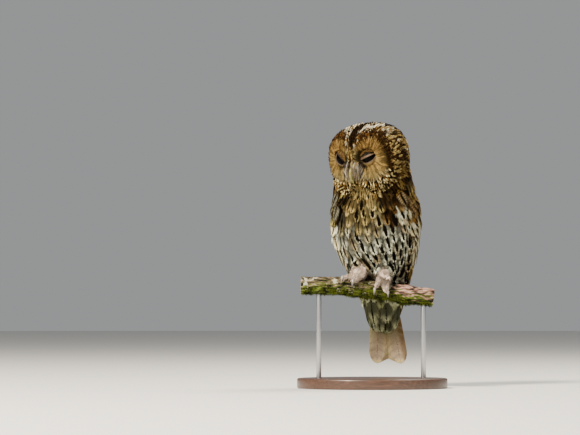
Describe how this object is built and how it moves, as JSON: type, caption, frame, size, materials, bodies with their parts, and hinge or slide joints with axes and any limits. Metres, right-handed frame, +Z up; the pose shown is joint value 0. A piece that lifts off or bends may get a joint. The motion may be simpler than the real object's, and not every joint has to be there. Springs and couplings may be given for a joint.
{
  "type": "tawny owl",
  "caption": "Life-size perched tawny owl, head turned and bowed, eyes half closed, gripping a short length of branch held up by a plain oval stand.",
  "frame": {"origin": "centre of the underside of the display stand's base", "axes": "+Z up; +X along the perch, to the viewer's right; the owl's body looks towards -Y, turned a little to -X"},
  "size_m": [0.236, 0.196, 0.418],
  "materials": {
    "crown": "soft brown feathering, streaked and spotted",
    "face": "fine radiating buff-brown facial feathering",
    "breast": "soft buff feathers with dark shaft streaks",
    "belly": "soft pale feathers with dark shaft streaks",
    "wing": "barred brown flight feathers and pale-spotted coverts",
    "tail": "smooth grey-brown tail feathers",
    "leg": "short dense pale feathering",
    "claw": "smooth grey horn, standing in for claw",
    "bill": "smooth olive-yellow horn, standing in for bill",
    "eye": "wet near-black eye",
    "bark": "rough mossy bark",
    "stand_board": "satin varnished dark wood",
    "stand_steel": "satin"
  },
  "bodies": {
    "root": {"bill_lower": "bill", "bill_upper": "bill", "claw_hind_left": "claw", "claw_hind_right": "claw", "claw_inner_left": "claw", "claw_inner_right": "claw", "claw_middle_left": "claw", "claw_middle_right": "claw", "claw_outer_left": "claw", "claw_outer_right": "claw", "eye_left": "eye", "eye_right": "eye", "facial_disc_left": "face", "facial_disc_right": "face", "head": "crown", "leg_left": "leg", "leg_right": "leg", "neck": "crown", "perch": "bark", "stand_base": "stand_board", "stand_rod_1": "stand_steel", "stand_rod_2": "stand_steel", "tail": "tail", "trunk": "breast", "undertail": "belly", "wing_left": "wing", "wing_right": "wing", "wing_tip_left": "wing", "wing_tip_right": "wing"}
  },
  "joints": []
}
